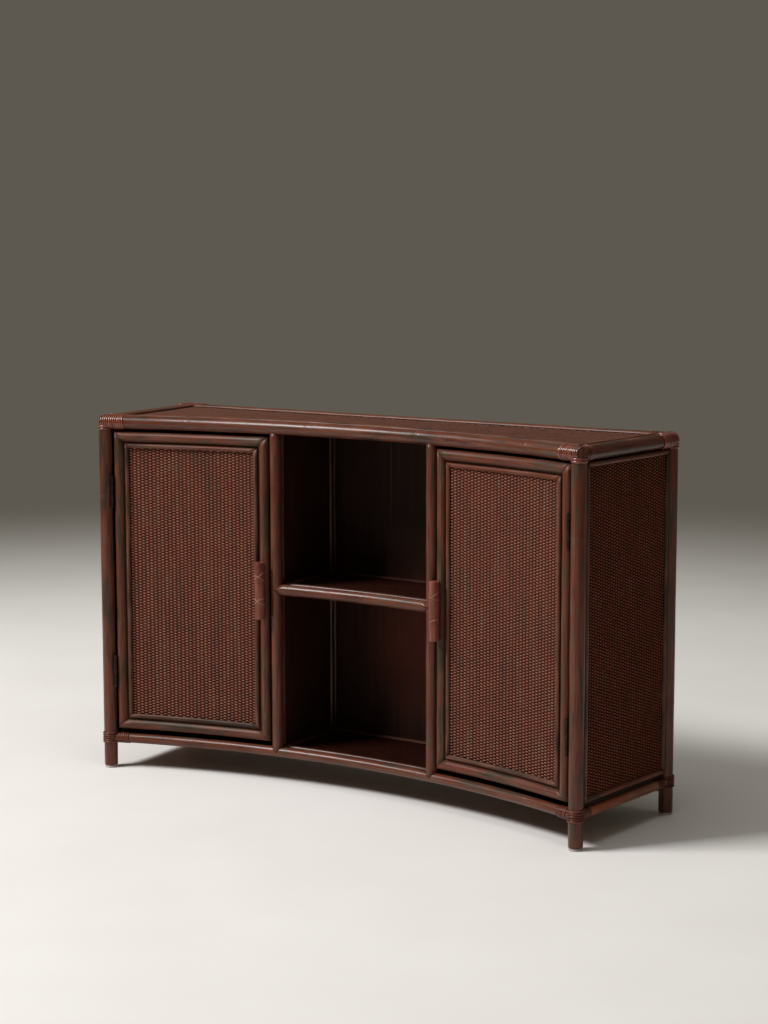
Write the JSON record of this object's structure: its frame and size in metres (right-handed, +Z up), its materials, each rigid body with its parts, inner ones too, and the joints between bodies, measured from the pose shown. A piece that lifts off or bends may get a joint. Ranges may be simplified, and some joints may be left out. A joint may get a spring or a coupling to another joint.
{
  "type": "rattan sideboard",
  "caption": "Low rattan sideboard with a bowed-in front, woven hinged doors either side of an open shelved niche, pole frame and peel-bound corners.",
  "frame": {"origin": "middle of the sideboard's footprint, on the floor", "axes": "+X along the front to the right as seen from the front, +Y to the back, +Z up"},
  "size_m": [1.2884, 0.3688, 0.8022],
  "materials": {
    "pole": "antiqued dark red-brown rattan pole, satin lacquer",
    "weave": "woven rattan core, dark red-brown stain with lighter rubbed bumps",
    "bead": "half-round rattan bead, satin dark red-brown",
    "peel": "flat rattan peel, glossy dark brown",
    "handle": "short rattan pole, satin red-brown",
    "board": "stained board, very dark brown, smooth",
    "hinge_metal": "dark bronze",
    "catch_plastic": "dark brown",
    "catch_steel": "zinc plated",
    "clear_glide": "clear plastic glide"
  },
  "bodies": {
    "carcass": {"back_panel": "board", "bottom_panel": "board", "corner_bindings_lower": "peel", "corner_bindings_top": "peel", "divider_panel_left": "board", "divider_panel_right": "board", "divider_post_left": "pole", "divider_post_right": "pole", "foot_glides": "clear_glide", "hinge_post_leaves": "hinge_metal", "inner_shelves": "board", "lower_rail_back": "pole", "lower_rail_front": "pole", "lower_rail_left": "pole", "lower_rail_right": "pole", "magnet_catches": "catch_plastic", "niche_beads": "bead", "niche_shelf": "board", "post_back_left": "pole", "post_back_right": "pole", "post_front_left": "pole", "post_front_right": "pole", "shelf_rail": "pole", "side_beads_left": "bead", "side_beads_right": "bead", "side_panel_left": "board", "side_panel_right": "board", "side_weave_left": "weave", "side_weave_right": "weave", "top_beads": "bead", "top_panel": "board", "top_rail_back": "pole", "top_rail_front": "pole", "top_rail_left": "pole", "top_rail_right": "pole", "top_weave": "weave"},
    "door_left": {"door_beads_left": "bead", "door_bottom_rail_left": "pole", "door_catch_plate_left": "catch_steel", "door_handle_left": "handle", "door_handle_stile_left": "pole", "door_handle_ties_left": "peel", "door_hinge_leaves_left": "hinge_metal", "door_hinge_stile_left": "pole", "door_panel_left": "board", "door_top_rail_left": "pole", "door_weave_left": "weave"},
    "door_right": {"door_beads_right": "bead", "door_bottom_rail_right": "pole", "door_catch_plate_right": "catch_steel", "door_handle_right": "handle", "door_handle_stile_right": "pole", "door_handle_ties_right": "peel", "door_hinge_leaves_right": "hinge_metal", "door_hinge_stile_right": "pole", "door_panel_right": "board", "door_top_rail_right": "pole", "door_weave_right": "weave"}
  },
  "joints": [
    {"name": "door_left_hinge", "type": "hinge", "parent": "carcass", "child": "door_left", "pos_m": [-0.57971, -0.17122, 0.428], "axis": [0, 0, 1], "range_deg": [-110, 0]},
    {"name": "door_right_hinge", "type": "hinge", "parent": "carcass", "child": "door_right", "pos_m": [0.57971, -0.17122, 0.428], "axis": [0, 0, 1], "range_deg": [0, 110]}
  ]
}
